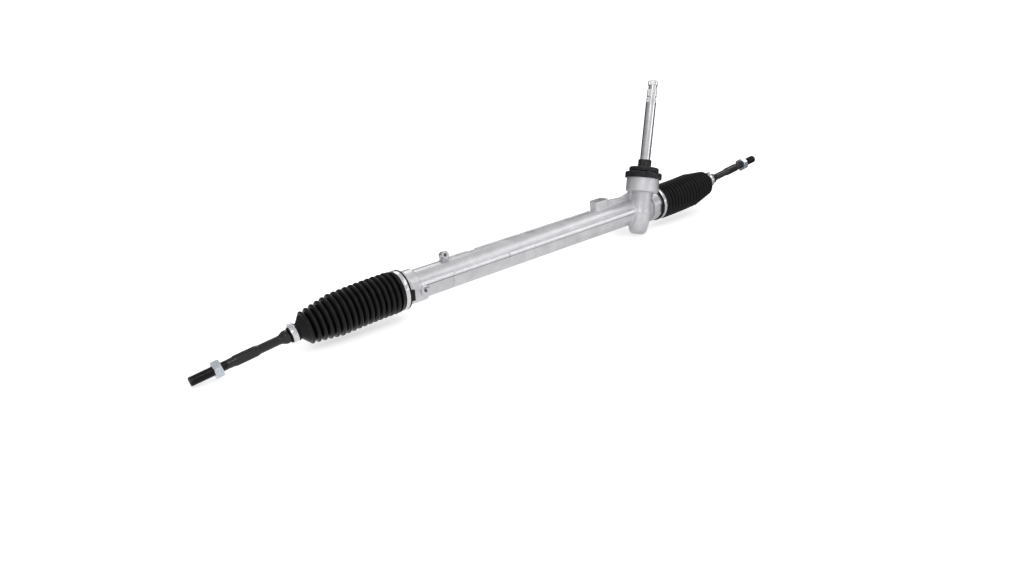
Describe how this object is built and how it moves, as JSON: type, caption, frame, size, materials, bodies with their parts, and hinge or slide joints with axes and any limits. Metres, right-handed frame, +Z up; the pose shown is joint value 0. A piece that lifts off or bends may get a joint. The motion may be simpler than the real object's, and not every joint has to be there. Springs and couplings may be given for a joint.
{
  "type": "rack-and-pinion steering gear",
  "caption": "Manual rack-and-pinion steering gear: cast housing, sliding toothed rack, leaning splined pinion shaft, bellows boots and threaded tie rods on ball joints.",
  "frame": {"origin": "middle of the two threaded holes in the mounting pad, on the pad's face", "axes": "+X along the rack towards the pinion end, +Z up out of the pad, -Y the side the pinion is on"},
  "size_m": [1.1583, 0.0996, 0.259],
  "materials": {
    "cast_aluminium": "as-cast, bead-blasted, with machined faces",
    "ground_steel": "ground and oiled",
    "bearing_steel": "polished",
    "spring_steel": "oiled spring steel",
    "zinc_plate": "bright zinc plate",
    "clamp_steel": "bright zinc-plated strip",
    "black_steel": "satin black coating",
    "yoke_aluminium": "turned",
    "boot_rubber": "satin black",
    "seal_rubber": "matt black",
    "cap_plastic": "moulded charcoal",
    "bushing_plastic": "natural"
  },
  "bodies": {
    "housing": {"rack_housing": "cast_aluminium", "bearing_outer_race": "bearing_steel", "needle_cup": "bearing_steel", "needle_rollers": "bearing_steel", "bearing_lock_ring": "ground_steel", "pinion_seal": "seal_rubber", "dust_cap": "cap_plastic", "rack_yoke": "yoke_aluminium", "yoke_liner": "bushing_plastic", "yoke_o_ring": "seal_rubber", "yoke_spring": "spring_steel", "yoke_plug": "yoke_aluminium", "yoke_lock_nut": "zinc_plate", "rack_bushing": "bushing_plastic", "bushing_ring": "spring_steel", "left_travel_stop": "bushing_plastic", "left_boot": "boot_rubber", "left_large_clamp": "clamp_steel", "right_travel_stop": "bushing_plastic", "right_boot": "boot_rubber", "right_large_clamp": "clamp_steel"},
    "rack": {"rack_bar": "ground_steel", "left_inner_socket": "ground_steel", "left_lock_washer": "zinc_plate", "right_inner_socket": "ground_steel", "right_lock_washer": "zinc_plate"},
    "pinion": {"pinion_shaft": "ground_steel", "bearing_inner_race": "bearing_steel", "bearing_balls": "bearing_steel", "bearing_snap_ring": "spring_steel"},
    "left_seat": {"left_ball_seat": "bushing_plastic"},
    "left_rod": {"left_tie_rod": "black_steel", "left_jam_nut": "zinc_plate", "left_small_clamp": "clamp_steel"},
    "right_seat": {"right_ball_seat": "bushing_plastic"},
    "right_rod": {"right_tie_rod": "black_steel", "right_jam_nut": "zinc_plate", "right_small_clamp": "clamp_steel"}
  },
  "joints": [
    {"name": "rack_slide", "type": "slide", "parent": "housing", "child": "rack", "axis": [1, 0, 0], "range_m": [-0.062, 0.062], "deforming": ["left_boot", "right_boot"]},
    {"name": "pinion_spin", "type": "hinge", "parent": "housing", "child": "pinion", "pos_m": [0.0782, -0.02247, -0.03489], "axis": [0.3289, 0.12, 0.9367], "range_deg": [-420.8, 420.8]},
    {"name": "left_rod_yaw", "type": "hinge", "parent": "rack", "child": "left_seat", "pos_m": [-0.497, -0.006, -0.037], "axis": [0, 0, 1], "range_deg": [-6, 14]},
    {"name": "left_rod_pitch", "type": "hinge", "parent": "left_seat", "child": "left_rod", "pos_m": [-0.497, -0.006, -0.037], "axis": [-0.0698, -0.9976, 0], "range_deg": [-24.3, 7.7]},
    {"name": "right_rod_yaw", "type": "hinge", "parent": "rack", "child": "right_seat", "pos_m": [0.213, -0.006, -0.037], "axis": [0, 0, 1], "range_deg": [-10, 10]},
    {"name": "right_rod_pitch", "type": "hinge", "parent": "right_seat", "child": "right_rod", "pos_m": [0.213, -0.006, -0.037], "axis": [0, 1, 0], "range_deg": [-10.2, 21.8]}
  ],
  "couplings": [
    {"joint": "pinion_spin", "follows": "rack_slide", "rad_per_m": -118.05}
  ]
}
